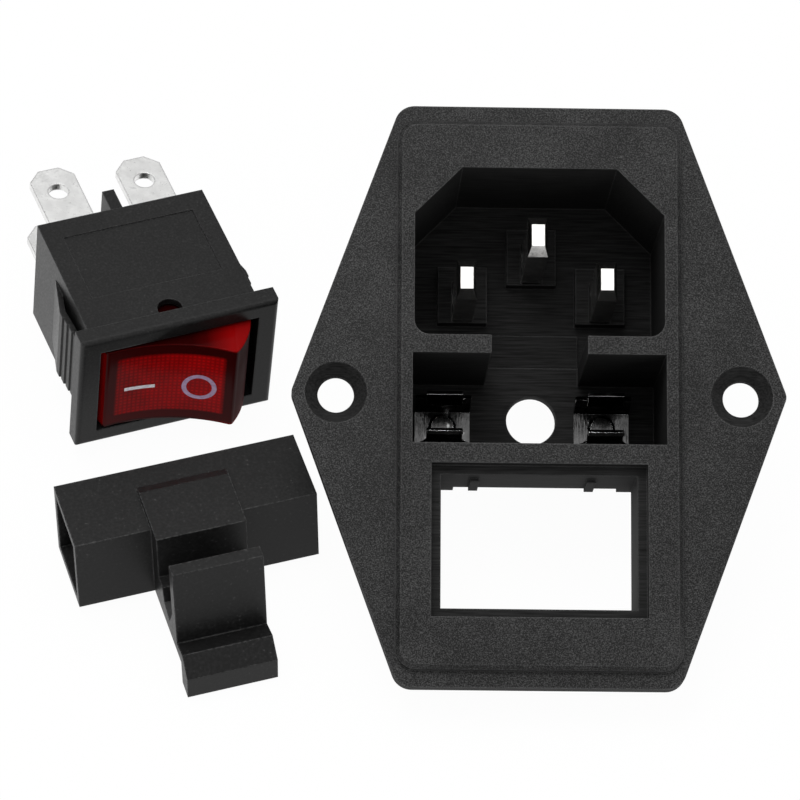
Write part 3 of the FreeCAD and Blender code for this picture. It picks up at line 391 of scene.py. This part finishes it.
def strip_mark(name, rows, material):
    """A printed patch from rows of points across it."""
    points = [tuple(point) for row in rows for point in row]
    width = len(rows[0])
    faces = []
    for r in range(len(rows) - 1):
        for c in range(width - 1):
            a = r * width + c
            faces.append((a, a + 1, a + width + 1, a + width))
    mesh = bpy.data.meshes.new(name)
    mesh.from_pydata(points, [], faces)
    mesh.update()
    mesh.materials.append(material)
    piece = bpy.data.objects.new(name, mesh)
    bpy.context.scene.collection.objects.link(piece)
    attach(piece, "rocker")


bar_rows = []
for i in range(BAR_STEPS + 1):
    along = BAR_X - BAR_LENGTH / 2 + BAR_LENGTH * i / BAR_STEPS
    bar_rows.append([on_dish(along, BAR_Y + BAR_WIDTH * side / 2) for side in (-1, 0, 1)])
strip_mark("mark_on", bar_rows, printed("mark_pale", (0.72, 0.64, 0.74), (0.95, 0.92, 0.96)))

ring_rows = []
for i in range(RING_STEPS + 1):
    turned = 2 * math.pi * i / RING_STEPS
    ring_rows.append([
        on_dish(RING_X + radius * math.cos(turned), RING_Y + radius * math.sin(turned))
        for radius in (RING_INNER, (RING_INNER + RING_OUTER) / 2, RING_OUTER)])
strip_mark("mark_off", ring_rows, printed("mark_lilac", (0.42, 0.26, 0.44), (0.58, 0.40, 0.60)))


# Floor
FLOOR_SIZE, FLOOR_DROP = 6, 0.00002
GLOW_SHARE = 0.97


def ground(name):
    """White ground that the camera and reflections see as glowing, and that keeps a shadow."""
    n = Nodes(name)
    cloud = n.noise(n.place(), 6.0)
    tint = n.ramp(cloud, [(NOISE_LOW, grey(0.95)), (NOISE_HIGH, grey(0.97))])
    lit = n.add("BsdfDiffuse", {"Color": tint})
    glow = n.add("Emission", values={"Color": grey(1.0), "Strength": 1.0})
    rays = n.add("LightPath").outputs
    seen = n.calc("MAXIMUM", rays["Is Camera Ray"], rays["Is Glossy Ray"])
    seen = n.calc("MAXIMUM", seen, rays["Is Transmission Ray"])
    share = n.calc("MULTIPLY", seen, GLOW_SHARE)
    mix = n.add("MixShader", {0: share, 1: lit.outputs[0], 2: glow.outputs[0]})
    return n.finish(mix.outputs[0])


bpy.ops.mesh.primitive_plane_add(size=FLOOR_SIZE, location=(0, 0, -FLOOR_DROP))
floor = bpy.context.object
floor.name = "floor"
floor.data.materials.append(ground("ground_white"))


# Light: an even pale world and four softboxes, each with its place and size in m and power in W
WORLD_STRENGTH = 0.45
LIGHT_TARGET = Vector((0, 0, 0.01))
SOFTBOXES = {
    "key": ((-0.12, 0.08, 0.60), (0.30, 0.30), 1.35),
    "fill": ((0.45, -0.30, 0.40), (0.35, 0.35), 0.4),
    "front": ((0.0, -0.16, 0.62), (0.35, 0.30), 0.42),
    "back": ((0.0, 0.30, 0.55), (0.50, 0.35), 0.68),
}

world = bpy.data.worlds.new("studio")
bpy.context.scene.world = world
world.use_nodes = True
background = world.node_tree.nodes["Background"]
background.inputs["Color"].default_value = grey(1)
background.inputs["Strength"].default_value = WORLD_STRENGTH

for name, (location, size, power) in SOFTBOXES.items():
    light = bpy.data.lights.new(name, "AREA")
    light.shape = "RECTANGLE"
    light.size, light.size_y = size
    light.energy = power
    lamp = bpy.data.objects.new(name, light)
    lamp.location = location
    lamp.rotation_euler = (LIGHT_TARGET - Vector(location)).to_track_quat("-Z", "Y").to_euler()
    bpy.context.scene.collection.objects.link(lamp)


# Camera, fitted to the photograph with the product's known sizes
ELEVATION, AZIMUTH, ROLL = math.radians(52.56), math.radians(2.91), math.radians(3.0)
DISTANCE = 0.5
FOCAL_PX, IMAGE_PX, SENSOR_MM = 4948.3, 800, 36
AIM = Vector((housing.translation.x - 14.2 * MM, housing.translation.y, 0))
SHIFT_RIGHT, SHIFT_UP = 1.04 * MM, 9.86 * MM

flat = math.cos(ELEVATION)
forward = Vector((math.sin(AZIMUTH) * flat, math.cos(AZIMUTH) * flat, -math.sin(ELEVATION)))
right = Vector((math.cos(AZIMUTH), -math.sin(AZIMUTH), 0))
up = right.cross(forward)
view_right = right * math.cos(ROLL) + up * math.sin(ROLL)
view_up = up * math.cos(ROLL) - right * math.sin(ROLL)
camera = bpy.data.objects.new("camera", bpy.data.cameras.new("camera"))
bpy.context.scene.collection.objects.link(camera)
camera.data.sensor_width = SENSOR_MM
camera.data.lens = FOCAL_PX / IMAGE_PX * SENSOR_MM
camera.data.clip_start, camera.data.clip_end = 0.01, 50
camera.location = AIM + view_right * SHIFT_RIGHT + view_up * SHIFT_UP - forward * DISTANCE
camera.rotation_mode = "QUATERNION"
camera.rotation_quaternion = Matrix((view_right, view_up, -forward)).transposed().to_quaternion()
bpy.context.scene.camera = camera
bpy.context.scene.view_settings.view_transform = "Standard"
